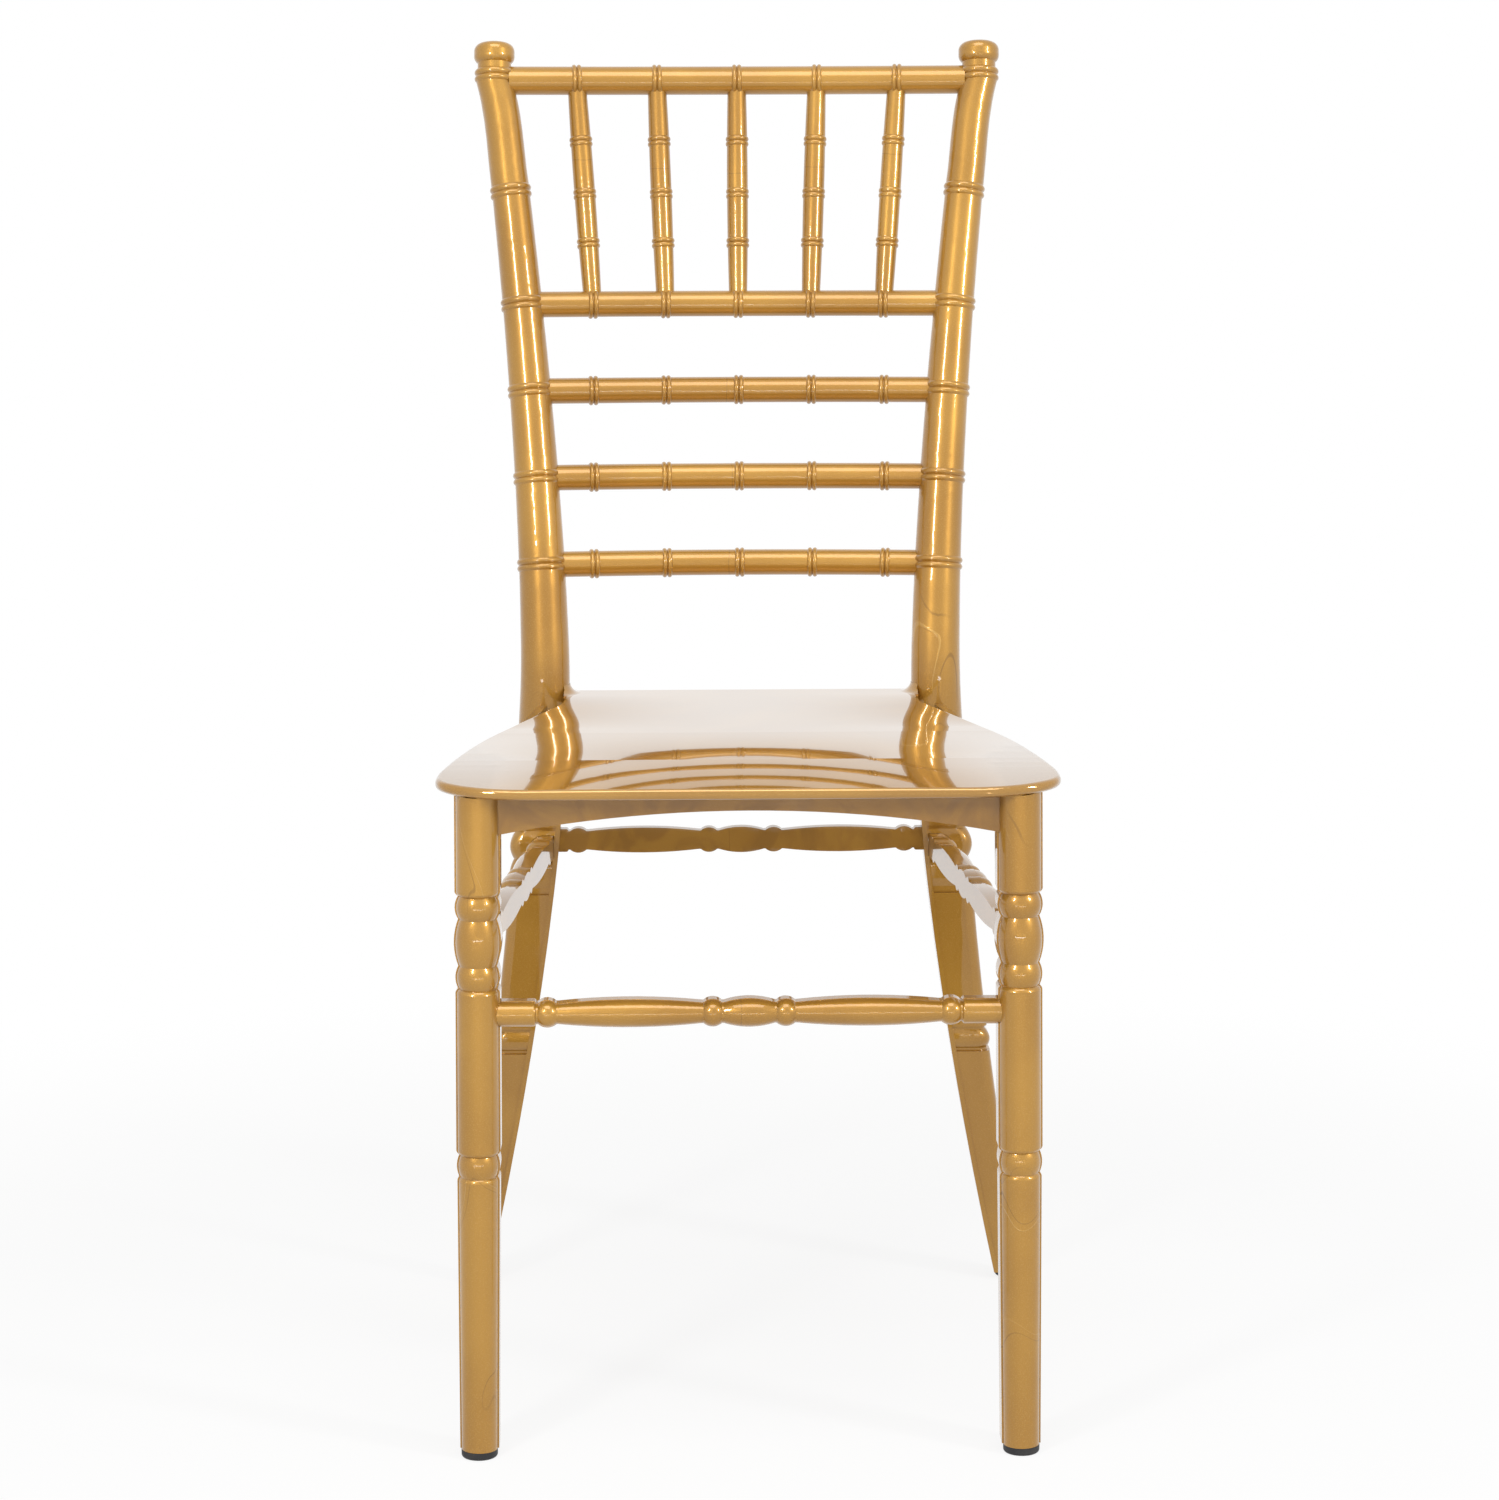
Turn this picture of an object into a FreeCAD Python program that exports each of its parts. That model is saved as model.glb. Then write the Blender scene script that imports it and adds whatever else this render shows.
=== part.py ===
import FreeCAD, Part
import math
import os

# Chiavari side chair. Frame: floor at Z = 0, the chair faces -Y, X runs across it,
# origin on the floor under the middle of the chair's box. Left means -X.

V = FreeCAD.Vector
doc = FreeCAD.newDocument("ChiavariChair")
sheet = doc.addObject("Spreadsheet::Sheet", "Dims")

SIZES = [
    # whole chair
    ("ChairHeight", 928.0, "floor to the top of the finials"),
    ("JointClearance", 0.15, "free space round a member in its socket"),
    ("SocketDepth", 6.0, "how far a member enters the one that carries it"),
    # seat
    ("SeatHeight", 444.0, "top of the seat at the middle of its front edge"),
    ("SeatWidth", 400.0, "widest part, just behind the front corners"),
    ("SeatDepth", 371.0, "front edge to back edge"),
    ("SeatRearWidth", 256.0, "width of the back edge between the posts"),
    ("SeatCornerX", 60.0, "how far the rounded front corner reaches across"),
    ("SeatCornerY", 24.0, "how far the rounded front corner reaches back"),
    ("SeatSwellRadius", 60.0, "curve of the side behind the front corner"),
    ("SeatWaistSetback", 315.0, "front edge to the narrowest place, at the posts"),
    ("SeatWaistRadius", 93.0, "hollow curve of the side just in front of the post"),
    ("SeatFrontSlope", 14.0, "fall of the seat at its front edge, degrees"),
    ("SeatEaseSlope", 6.0, "fall of the seat where the curve eases, degrees"),
    ("SeatEaseSetback", 60.0, "front edge to the place where the curve eases"),
    ("SeatLevelSetback", 150.0, "front edge to the level part of the seat"),
    ("SeatThickness", 7.2, "wall of the seat shell"),
    ("SeatEdgeRound", 3.2, "rounding of the rolled edge"),
    ("CollarRise", 8.0, "height of the fillet between seat and post"),
    ("CollarReach", 8.0, "reach of the fillet between seat and post"),
    # aprons
    ("ApronThickness", 6.0, "wall of the aprons under the seat"),
    ("ApronDropMiddle", 16.2, "seat top to the front apron's edge, in the middle"),
    ("ApronDropEnd", 31.5, "seat top to the front apron's edge, at the legs"),
    ("SideApronDrop", 30.0, "seat top at the front to the side apron's lower edge"),
    ("RearApronDrop", 14.0, "seat top at the front to the rear apron's lower edge"),
    # rear posts
    ("PostSetback", 357.0, "post axis behind the seat's front edge, at the bend"),
    ("PostHalfSpan", 141.8, "post axis from the middle, at the bend"),
    ("BendRise", 36.0, "bend of the post above the seat's front edge"),
    ("TopSetback", 435.0, "finial behind the seat's front edge"),
    ("TopHalfSpan", 176.8, "finial from the middle"),
    ("RearFootSetback", 423.0, "rear foot behind the seat's front edge"),
    ("RearFootHalfSpan", 204.5, "rear foot from the middle"),
    ("BowPower", 1.58, "how the splay of the post grows away from the bend"),
    ("RakePower", 1.15, "how the lean of the back grows above the bend"),
    ("PostTopRadius", 13.2, "post under the finial"),
    ("PostBaseRadius", 18.3, "post where it leaves the seat"),
    ("PostTaperPower", 1.4, "how the post thickens on its way down"),
    ("RearLegTopWidth", 34.0, "rear leg under the seat, across"),
    ("RearLegTopDepth", 30.0, "rear leg under the seat, front to back"),
    ("RearLegFootWidth", 22.6, "rear leg at the foot, across"),
    ("RearLegFootDepth", 23.0, "rear leg at the foot, front to back"),
    ("RearRimWidth", 3.6, "raised rim along the inner edge of the rear leg"),
    ("RearRimProud", 1.2, "how far that rim stands out of the flat face"),
    ("RearEdgeRound", 7.5, "rounded long edges of the rear leg"),
    ("RearLegGroove", 1.6, "depth of the grooves beside the turnings"),
    ("RearBallDrop", 4.0, "middle of the ball under the rear stretcher's axis"),
    ("RearBallHalf", 11.0, "half height of the ball turned on the rear leg"),
    ("RearBallProud", 2.0, "how far the ball stands out of the leg"),
    ("RearRingProud", 0.8, "how far the ring under it stands out of the leg"),
    ("RearGrooveDrop", 35.0, "groove under the ring, below the middle of the ball"),
    ("LowRingProud", 1.0, "how far the low bead stands out of the rear leg"),
    ("TurningGap", 2.5, "width of the grooves beside the turnings, on all four legs"),
    # beads and finials
    ("PostBeadProud", 1.3, "thin beads round the posts, in pairs"),
    ("PostBeadPitch", 4.6, "width of each bead of a pair"),
    ("PostUpperBeadHeight", 819.0, "bead pair between the top rails"),
    ("FinialRadius", 14.8, "drum with round edges on top of the post"),
    ("FinialHalfHeight", 7.8, "half its height"),
    ("FinialEdgeRound", 6.0, "rounding of its edges"),
    ("FinialNeckRadius", 12.2, "neck under the drum"),
    ("FinialBeadDrop", 24.0, "bead pair under the top of the finial"),
    # back rails
    ("TopRailHeight", 899.5, "axis of the top rail"),
    ("TopRailRadius", 10.3, ""),
    ("RailRadius", 9.35, "ladder rails"),
    ("LowRailHeight", 551.6, "axis of the lowest ladder rail"),
    ("RailPitch", 62.2, "distance between ladder rails"),
    ("RailBow", 12.0, "how far the rails bow back in the middle"),
    ("RailBeadRadius", 1.7, "thin beads on the rails"),
    ("RailBeadProud", 1.4, ""),
    ("RailBeadPitch", 3.6, ""),
    ("RailBeadSpacing", 53.0, "bead pairs along the ladder rails"),
    ("TopBeadSpacing", 58.6, "bead pairs along the top rail"),
    # spindles
    ("SpindleBottomRadius", 6.6, ""),
    ("SpindleMiddleRadius", 7.7, ""),
    ("SpindleTopRadius", 6.8, ""),
    ("SpindleBeadRadius", 8.4, ""),
    ("SpindleBeadWidth", 3.6, "each bead of a pair"),
    ("SpindleSocket", 5.0, "how far a spindle enters a rail"),
    # front legs
    ("FrontLegSetback", 21.0, "leg axis behind the seat's front edge"),
    ("FrontFootHalfSpan", 177.6, "leg axis from the middle, at the floor"),
    ("FrontLegSplay", 4.3, "how much closer the legs stand at seat height"),
    ("FrontLegFootRadius", 11.8, ""),
    ("FrontLegLowRadius", 12.8, "under the low bead"),
    ("FrontLegMidRadius", 13.4, "shaft above the low bead"),
    ("FrontLegTopRadius", 13.7, "shaft under the seat"),
    ("FrontLegNeckRadius", 11.5, "grooves between the turnings"),
    ("FrontLegBarrelRadius", 14.3, ""),
    ("FrontLegWall", 18.0, "flat sides behind the turned front"),
    ("FrontLegStep", 0.9, "how far the flat sides stand out of the turning"),
    ("LowBeadHeight", 195.7, "middle of the low bead, on all four legs"),
    ("LowBeadWidth", 14.6, ""),
    ("StretcherBeadHeight", 320.0, "bead above the front stretcher"),
    ("BarrelHeight", 342.8, ""),
    ("UpperBeadHeight", 365.6, ""),
    ("TurnedBeadWidth", 15.0, ""),
    # stretchers
    ("FrontStretcherHeight", 295.0, ""),
    ("FrontStretcherOffset", 2.5, "its axis behind the leg axis"),
    ("RearStretcherHeight", 351.2, ""),
    ("SideStretcherHeight", 346.5, ""),
    ("StretcherCollarRadius", 8.0, ""),
    ("StretcherNeckRadius", 6.4, ""),
    ("StretcherBeadRadius", 8.7, ""),
    ("StretcherVaseRadius", 8.8, ""),
    ("StretcherBarrelRadius", 9.0, ""),
    ("StretcherWall", 9.0, "flat sides behind the turned half"),
    ("StretcherStep", 0.4, ""),
    ("StretcherBarrelHalf", 16.4, "half length of the middle barrel"),
    ("StretcherBeadWidth", 12.0, ""),
    ("FrontCollarLength", 23.0, ""),
    ("RearCollarLength", 6.5, ""),
    ("SideCollarLength", 16.0, ""),
    # foot caps
    ("CapHeight", 5.2, "rubber showing under the leg"),
    ("FrontCapRadius", 11.9, ""),
    ("RearCapRadius", 11.0, ""),
    ("CapRound", 2.0, ""),
    ("PlugRadius", 5.0, "plug in the end of the leg"),
    ("PlugLength", 12.0, ""),
]
for row, (alias, value, note) in enumerate(SIZES, start=1):
    sheet.set("A%d" % row, note if note else alias)
    sheet.set("B%d" % row, str(value))
    sheet.setAlias("B%d" % row, alias)
doc.recompute()


def size(alias):
    return float(sheet.get(alias))


def bind(item, prop, formula):
    item.setExpression(prop, formula)


# Geometry shared by several pieces

GAP = size("JointClearance")
BEND = size("SeatHeight") + size("BendRise")


def crown_axis():
    # the finial leans back with the post, but stands upright seen from the front
    rise = size("ChairHeight") - BEND
    back = size("RakePower") * (size("TopSetback") - size("PostSetback")) / rise
    return V(0, back, 1).normalize()


def finial_reach(component):
    # half extent of the tilted drum along a world axis
    turn = size("FinialEdgeRound")
    across = (size("FinialRadius") - turn) * math.sqrt(1 - component ** 2)
    return across + (size("FinialHalfHeight") - turn) * component + turn


TOP_AXIS = crown_axis()
FINIAL_HEIGHT = size("ChairHeight") - finial_reach(TOP_AXIS.z)


def swept(low, high, share, power):
    return low + (high - low) * share ** power


def post_offset(height):
    # axis of the right rear post, from the floor to the finial, with Y from the seat's front
    if height > BEND:
        share = (height - BEND) / (FINIAL_HEIGHT - BEND)
        across = swept(size("PostHalfSpan"), size("TopHalfSpan"), share, size("BowPower"))
        back = swept(size("PostSetback"), size("TopSetback"), share, size("RakePower"))
    else:
        share = (BEND - height) / BEND
        across = swept(size("PostHalfSpan"), size("RearFootHalfSpan"), share, size("BowPower"))
        back = swept(size("PostSetback"), size("RearFootSetback"), share, size("BowPower"))
    return V(across, back, height)


def deepest_reach():
    # from the seat's front edge to the rearmost point: a finial or the bowed top rail
    finial = size("TopSetback") + finial_reach(TOP_AXIS.y)
    rail = post_offset(size("TopRailHeight")).y + size("RailBow")
    return max(finial, rail + size("TopRailRadius") + size("RailBeadProud"))


FRONT = -deepest_reach() / 2


def post_point(height):
    return post_offset(height) + V(0, FRONT, 0)


def post_direction(height):
    return (post_point(height + 0.5) - post_point(height - 0.5)).normalize()


def post_radius(height):
    share = (FINIAL_HEIGHT - height) / (FINIAL_HEIGHT - size("SeatHeight"))
    return swept(size("PostTopRadius"), size("PostBaseRadius"), share, size("PostTaperPower"))


LEG_TOP_WIDTH_HEIGHT = BEND * 0.7


def rear_leg_size(height):
    share = min(1.0, height / LEG_TOP_WIDTH_HEIGHT)
    width = swept(size("RearLegFootWidth"), size("RearLegTopWidth"), share, 1.0)
    depth = swept(size("RearLegFootDepth"), size("RearLegTopDepth"), share, 1.0)
    return width, depth


def front_leg_point(height):
    across = size("FrontFootHalfSpan") - size("FrontLegSplay") * height / size("SeatHeight")
    return V(across, FRONT + size("FrontLegSetback"), height)


def frame_at(origin, along, toward):
    # local Z lies along the member, local Y points to its flat side
    z_axis = V(along).normalize()
    x_axis = V(toward).cross(z_axis).normalize()
    y_axis = z_axis.cross(x_axis)
    matrix = FreeCAD.Matrix(
        x_axis.x, y_axis.x, z_axis.x, origin.x,
        x_axis.y, y_axis.y, z_axis.y, origin.y,
        x_axis.z, y_axis.z, z_axis.z, origin.z,
        0, 0, 0, 1)
    return FreeCAD.Placement(matrix)


def turn_to(origin, along):
    return FreeCAD.Placement(origin, FreeCAD.Rotation(V(0, 0, 1), along))


def plane_of(body, role):
    for item in body.Origin.OriginFeatures:
        if item.Role == role:
            return item
    raise ValueError("no plane " + role)


def new_sketch(body, name, role, offset, turn=FreeCAD.Rotation()):
    sketch = body.newObject("Sketcher::SketchObject", name)
    sketch.AttachmentSupport = [(plane_of(body, role), "")]
    sketch.MapMode = "FlatFace"
    sketch.AttachmentOffset = FreeCAD.Placement(offset, turn)
    return sketch


def part(kind, name, placement=None, **bound):
    item = doc.addObject("Part::" + kind, name)
    for prop, formula in bound.items():
        bind(item, prop, formula)
    if placement is not None:
        item.Placement = placement
    return item


def fuse(name, items):
    item = doc.addObject("Part::MultiFuse", name)
    item.Refine = False
    item.Shapes = items
    return item


def cut(name, base, tools):
    # one cut after another; the last one carries the name
    for tool in tools:
        last = tool is tools[-1]
        item = doc.addObject("Part::Cut", name if last else "%s_less_%s" % (name, tool.Name))
        item.Refine = False
        item.Base = base
        item.Tool = tool
        base = item
    return base


def mirror(name, source):
    item = doc.addObject("Part::Mirroring", name)
    item.Source = source
    item.Normal = V(1, 0, 0)
    item.Base = V(0, 0, 0)
    return item


# Turned outlines: a list of steps up the axis. A line step is (radius, height), an arc
# step is (radius, height, radius half way, height half way).

def outline_edges(steps, offset, side):
    edges = []
    last = V(side * (steps[0][0] + offset), steps[0][1], 0)
    for step in steps[1:]:
        point = V(side * (step[0] + offset), step[1], 0)
        if len(step) == 4:
            middle = V(side * (step[2] + offset), step[3], 0)
            edges.append(Part.Arc(last, middle, point))
        else:
            edges.append(Part.LineSegment(last, point))
        last = point
    return edges


def turned_body(name, steps, wall=None, step_out=None):
    # turned member, round all over, or with flat sides that run back from the turning
    body = doc.addObject("PartDesign::Body", name)
    low, high = steps[0], steps[-1]
    sketch = new_sketch(body, name + "_turning", "XZ_Plane", V(0, 0, 0))
    for edge in outline_edges(steps, 0.0, 1):
        sketch.addGeometry(edge, False)
    for start, end in (((0, low[1]), low[:2]), (high[:2], (0, high[1])), ((0, high[1]), (0, low[1]))):
        sketch.addGeometry(Part.LineSegment(V(start[0], start[1], 0), V(end[0], end[1], 0)), False)
    turning = body.newObject("PartDesign::Revolution", name + "_round")
    turning.Profile = sketch
    turning.ReferenceAxis = (sketch, ["V_Axis"])
    turning.Angle = 360
    if wall is None:
        return body
    flat = new_sketch(body, name + "_sides", "XZ_Plane", V(0, 0, 0))
    out = size(step_out)
    for side in (1, -1):
        for edge in outline_edges(steps, out, side):
            flat.addGeometry(edge, False)
    for end in (low, high):
        reach = end[0] + out
        flat.addGeometry(Part.LineSegment(V(-reach, end[1], 0), V(reach, end[1], 0)), False)
    pad = body.newObject("PartDesign::Pad", name + "_wall")
    pad.Profile = flat
    pad.Reversed = True
    bind(pad, "Length", "Dims." + wall)
    return body


def rail_bead_pair(name, point, direction, core):
    # two thin rings round a rail
    rings = []
    half = size("RailBeadPitch") / 2
    for label, shift in (("a", -half), ("b", half)):
        ring = part("Torus", name + label, turn_to(point + V(direction) * shift, direction),
                    Radius2="Dims.RailBeadRadius")
        ring.Radius1 = core + size("RailBeadProud") - size("RailBeadRadius")
        rings.append(ring)
    return rings


# Profile of the seat in side view: it falls to the front in two arcs that meet the level
# part without a kink. Heights above or below the top of the seat share the arcs' centres.

SEAT_TOP = size("SeatHeight")
FRONT_SLOPE = math.radians(size("SeatFrontSlope"))
EASE_SLOPE = math.radians(size("SeatEaseSlope"))
FRONT_FALL_RADIUS = size("SeatEaseSetback") / (math.sin(FRONT_SLOPE) - math.sin(EASE_SLOPE))
EASE_FALL_RADIUS = (size("SeatLevelSetback") - size("SeatEaseSetback")) / math.sin(EASE_SLOPE)
EASE_TOP = SEAT_TOP + FRONT_FALL_RADIUS * (math.cos(EASE_SLOPE) - math.cos(FRONT_SLOPE))
DECK = EASE_TOP + EASE_FALL_RADIUS * (1 - math.cos(EASE_SLOPE))
SEAT_MARGIN = 20.0  # how much wider and longer than the seat its layers are drawn
HEADROOM = 40.0  # how far blocks, holes and cuts reach over or under the seat


def fall_point(radius, centre, slope, above):
    reach = radius + above
    return V(centre.x - reach * math.sin(slope), centre.y + reach * math.cos(slope), 0)


def seat_line(above):
    # the seat's top, moved up or down, from before the front edge to behind the back edge
    level = FRONT + size("SeatLevelSetback")
    behind = V(level, DECK - EASE_FALL_RADIUS, 0)
    lead = EASE_FALL_RADIUS - FRONT_FALL_RADIUS
    before = behind + V(-lead * math.sin(EASE_SLOPE), lead * math.cos(EASE_SLOPE), 0)
    past = FRONT_SLOPE + math.asin(SEAT_MARGIN / FRONT_FALL_RADIUS)
    front = [fall_point(FRONT_FALL_RADIUS, before, slope, above)
             for slope in (past, (past + EASE_SLOPE) / 2, EASE_SLOPE)]
    ease = [fall_point(EASE_FALL_RADIUS, behind, slope, above)
            for slope in (EASE_SLOPE, EASE_SLOPE / 2, 0.0)]
    end = V(FRONT + size("SeatDepth") + SEAT_MARGIN, DECK + above, 0)
    return [Part.Arc(*front), Part.Arc(*ease), Part.LineSegment(ease[2], end)], front[0], end


def seat_layer(name, low, high):
    # everything between two heights over or under the seat's top, wider than the seat
    body = doc.addObject("PartDesign::Body", name)
    sketch = new_sketch(body, name + "_profile", "YZ_Plane", V(0, 0, 0))
    lower, lower_start, lower_end = seat_line(low)
    upper, upper_start, upper_end = seat_line(high)
    ends = [Part.LineSegment(lower_start, upper_start), Part.LineSegment(lower_end, upper_end)]
    for edge in lower + upper + ends:
        sketch.addGeometry(edge, False)
    pad = body.newObject("PartDesign::Pad", name + "_width")
    pad.Profile = sketch
    pad.Midplane = True
    bind(pad, "Length", "Dims.SeatWidth + %g" % (2 * SEAT_MARGIN))
    return body


def under_seat(name, item):
    # the item, cut off just below the seat's underside
    clear = -size("SeatThickness") - GAP
    return cut(name, item, [seat_layer(name + "_limit", clear, clear + HEADROOM)])


# Back rails: bowed bars between the posts, with thin bead pairs

def rail_radius_of_bow(height):
    half = post_point(height).x
    return (half ** 2 + size("RailBow") ** 2) / (2 * size("RailBow"))


def rail_point(height, across):
    # point and direction on the bowed axis of the rail at this height
    bow = rail_radius_of_bow(height)
    centre = post_point(height).y + size("RailBow") - bow
    angle = math.asin(across / bow)
    return V(across, centre + bow * math.cos(angle), height), V(math.cos(angle), -math.sin(angle), 0)


def rail_end(height):
    # how far across the rail runs: into the post by the socket depth
    return post_point(height).x - post_radius(height) + size("SocketDepth")


def rail_arc(name, height, radius_formula, extra):
    bow = rail_radius_of_bow(height)
    half_angle = math.degrees(math.asin((rail_end(height) + extra) / bow))
    centre = V(0, post_point(height).y + size("RailBow") - bow, height)
    bar = part("Torus", name, Radius2=radius_formula)
    bar.Radius1 = bow
    bar.Angle3 = 2 * half_angle
    bar.Placement = FreeCAD.Placement(centre, FreeCAD.Rotation(V(0, 0, 1), 90 - half_angle))
    return bar


def rail_sockets(height, radius_formula, name):
    return rail_arc(name, height, radius_formula + " + Dims.JointClearance", GAP)


TOP_RAIL = size("TopRailHeight")
LADDER = [size("LowRailHeight") + n * size("RailPitch") for n in range(4)]
RAIL_NAMES = ["lower_back_rail", "middle_back_rail", "upper_back_rail", "spindle_rail"]
STEPS_ACROSS = (-2, -1, 0, 1, 2)


def beaded_rail(name, height, radius, spacing):
    bar = rail_arc(name + "_bar", height, "Dims." + radius, 0.0)
    rings = []
    for n in STEPS_ACROSS:
        point, direction = rail_point(height, n * size(spacing))
        label = "%s_bead%d" % (name, n + 3)
        rings += rail_bead_pair(label, point, direction, size(radius))
    return fuse(name + "_whole", [bar] + rings)


# Spindles stand between the spindle rail and the top rail and fan out a little

def spindle_ends(n):
    foot, _ = rail_point(LADDER[3], n * size("RailBeadSpacing"))
    head, _ = rail_point(TOP_RAIL, n * size("TopBeadSpacing"))
    return foot, head


SPINDLE_BEADS = (0.27, 0.49, 0.725)


def spindle_steps(length):
    low = size("RailRadius") - size("SpindleSocket")
    high = length - size("TopRailRadius") + size("SpindleSocket")
    width = size("SpindleBeadWidth")
    ends = (size("SpindleBottomRadius"), size("SpindleTopRadius"))

    def body_radius(z):
        share = (z - low) / (high - low)
        line = ends[0] + (ends[1] - ends[0]) * share
        swell = size("SpindleMiddleRadius") - (ends[0] + ends[1]) / 2
        return line + swell * 4 * share * (1 - share)

    steps = [(ends[0], low)]
    last = low
    for share in SPINDLE_BEADS:
        start = share * length - width
        half = (last + start) / 2
        steps.append((body_radius(start), start, body_radius(half), half))
        for k in range(2):
            top = start + width * (k + 1)
            middle = start + width * (k + 0.5)
            steps.append((body_radius(top), top, size("SpindleBeadRadius"), middle))
        last = start + 2 * width
    half = (last + high) / 2
    steps.append((ends[1], high, body_radius(half), half))
    return steps


def spindle(n):
    foot, head = spindle_ends(n)
    name = "back_spindle_%d" % (n + 3)
    body = turned_body(name, spindle_steps((head - foot).Length))
    body.Placement = turn_to(foot, head - foot)
    return body


def spindle_socket(n, at_top):
    foot, head = spindle_ends(n)
    length = (head - foot).Length
    label = "spindle_socket_%s%d" % ("top" if at_top else "low", n + 3)
    along = head - foot if not at_top else foot - head
    rail = "TopRailRadius" if at_top else "RailRadius"
    radius = "SpindleTopRadius" if at_top else "SpindleBottomRadius"
    start = size(rail) - size("SpindleSocket") - GAP
    origin = (head if at_top else foot) + V(along).normalize() * start
    socket = part("Cylinder", label, turn_to(origin, along),
                  Radius="Dims.%s + Dims.JointClearance" % radius)
    socket.Height = min(length, 2 * size(rail))
    return socket


# Rear posts: one member from the floor to the finial. Round above the seat; below it
# the front is flat with a raised rim along the inner edge and a rounded outer edge.

def post_section(body, name, point, direction, radius):
    # circle square to the axis of the post
    sketch = new_sketch(body, name, "XY_Plane", point, turn_to(point, direction).Rotation)
    sketch.addGeometry(Part.Circle(V(0, 0, 0), V(0, 0, 1), radius), False)
    return sketch


def plain_sections(body, name, low, high):
    # sections between two heights, about 25 mm apart, without the two ends
    count = max(2, round((high - low) / 25))
    heights = [low + (high - low) * k / count for k in range(1, count)]
    return [post_section(body, "%s_%d" % (name, k), post_point(z), post_direction(z), post_radius(z))
            for k, z in enumerate(heights)]


def post_beads(body, name, point, direction, core):
    # a pair of beads, lofted end to end; gives back the sections at both ends of the pair
    width = size("PostBeadPitch")
    radii = [core, core + size("PostBeadProud"), core, core + size("PostBeadProud"), core]
    rings = []
    for k, radius in enumerate(radii):
        place = point + V(direction) * (width * (k - 2) / 2)
        rings.append(post_section(body, "%s_%d" % (name, k), place, direction, radius))
    return rings


def round_post(body, foot_height, crown_beads):
    # from the leg up through the seat to the beads under the finial
    pairs = [(post_point(z), post_direction(z), post_radius(z))
             for z in LADDER + [size("PostUpperBeadHeight")]] + [crown_beads]
    last = post_section(body, "post_foot", post_point(foot_height), V(0, 0, 1), post_radius(foot_height))
    low = foot_height
    for n, (point, direction, core) in enumerate(pairs):
        name = "post_beads_%d" % n
        rings = post_beads(body, name, point, direction, core)
        high = point.z - size("PostBeadPitch")
        between = plain_sections(body, "post_plain_%d" % n, low, high)
        loft(body, "post_stretch_%d" % n, [last] + between + [rings[0]])
        loft(body, name + "_low", rings[:3])
        loft(body, name + "_high", rings[2:])
        last, low = rings[4], point.z + size("PostBeadPitch")


def leg_section(body, name, height, swell):
    # the inner edge and its rim run straight through the turnings
    width, depth = rear_leg_size(height)
    sketch = new_sketch(body, name, "XY_Plane", post_point(height))
    inner, outer = -width / 2, width / 2 + swell
    front, back = -depth / 2 - swell, depth / 2 + swell
    rim_front = -depth / 2 - size("RearRimProud")
    rim = inner + size("RearRimWidth")
    turn = size("RearEdgeRound")
    bulge = turn * (1 - math.sqrt(0.5))
    corners = [V(inner, rim_front, 0), V(rim, rim_front, 0), V(rim, front, 0),
               V(outer - turn, front, 0), V(outer, front + turn, 0), V(outer, back - turn, 0),
               V(outer - turn, back, 0), V(inner + turn, back, 0), V(inner, back - turn, 0)]
    arcs = {3: V(outer - bulge, front + bulge, 0), 5: V(outer - bulge, back - bulge, 0),
            7: V(inner + bulge, back - bulge, 0)}
    for k, start in enumerate(corners):
        end = corners[(k + 1) % len(corners)]
        edge = Part.Arc(start, arcs[k], end) if k in arcs else Part.LineSegment(start, end)
        sketch.addGeometry(edge, False)
    return sketch


def loft(body, name, sections):
    item = body.newObject("PartDesign::AdditiveLoft", name)
    item.Refine = False
    item.Profile = sections[0]
    item.Sections = sections[1:]
    item.Ruled = False
    return item


def leg_segment(body, name, low, high, swells):
    # swells along the segment, evenly spaced from its low end to its high end
    sections = []
    for k, swell in enumerate(swells):
        height = low + (high - low) * k / (len(swells) - 1)
        sections.append(leg_section(body, "%s_%d" % (name, k), height, swell))
    return loft(body, name, sections)


def rear_leg_segments():
    # heights where the leg changes, from the foot up, with the swell of each stretch
    low, half = size("LowBeadHeight"), size("LowBeadWidth") / 2
    ball, half_ball = size("RearStretcherHeight") - size("RearBallDrop"), size("RearBallHalf")
    groove, groove_gap = ball - size("RearGrooveDrop"), size("TurningGap")
    deep = size("RearLegGroove")
    return [
        ("foot", size("CapHeight") + GAP, [0, 0, 0, 0]),
        ("low_neck", low - half - groove_gap, [-deep, -deep]),
        ("low_bead", low - half, [-deep, size("LowRingProud"), -deep]),
        ("low_neck_upper", low + half, [-deep, -deep]),
        ("middle", low + half + groove_gap, [0, 0, 0, 0]),
        ("groove", groove - groove_gap, [-deep, -deep]),
        ("ring", groove + groove_gap, [-deep, size("RearRingProud"), -deep]),
        ("ball", ball - half_ball, [-deep, size("RearBallProud"), -deep]),
        ("ball_neck", ball + half_ball, [-deep, -deep]),
        ("shoulder", ball + half_ball + groove_gap, [0, 0]),
        ("end", size("SeatHeight") - 12, []),
    ]


def finial_drum(centre):
    radius, half, turn = size("FinialRadius"), size("FinialHalfHeight"), size("FinialEdgeRound")
    core, soft = radius - turn, turn * math.sqrt(0.5)
    steps = [(core, -half), (radius, turn - half, core + soft, turn - half - soft),
             (radius, half - turn), (core, half, core + soft, half - turn + soft)]
    body = turned_body("finial_drum", steps)
    body.Placement = turn_to(centre, TOP_AXIS)
    return body


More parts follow.
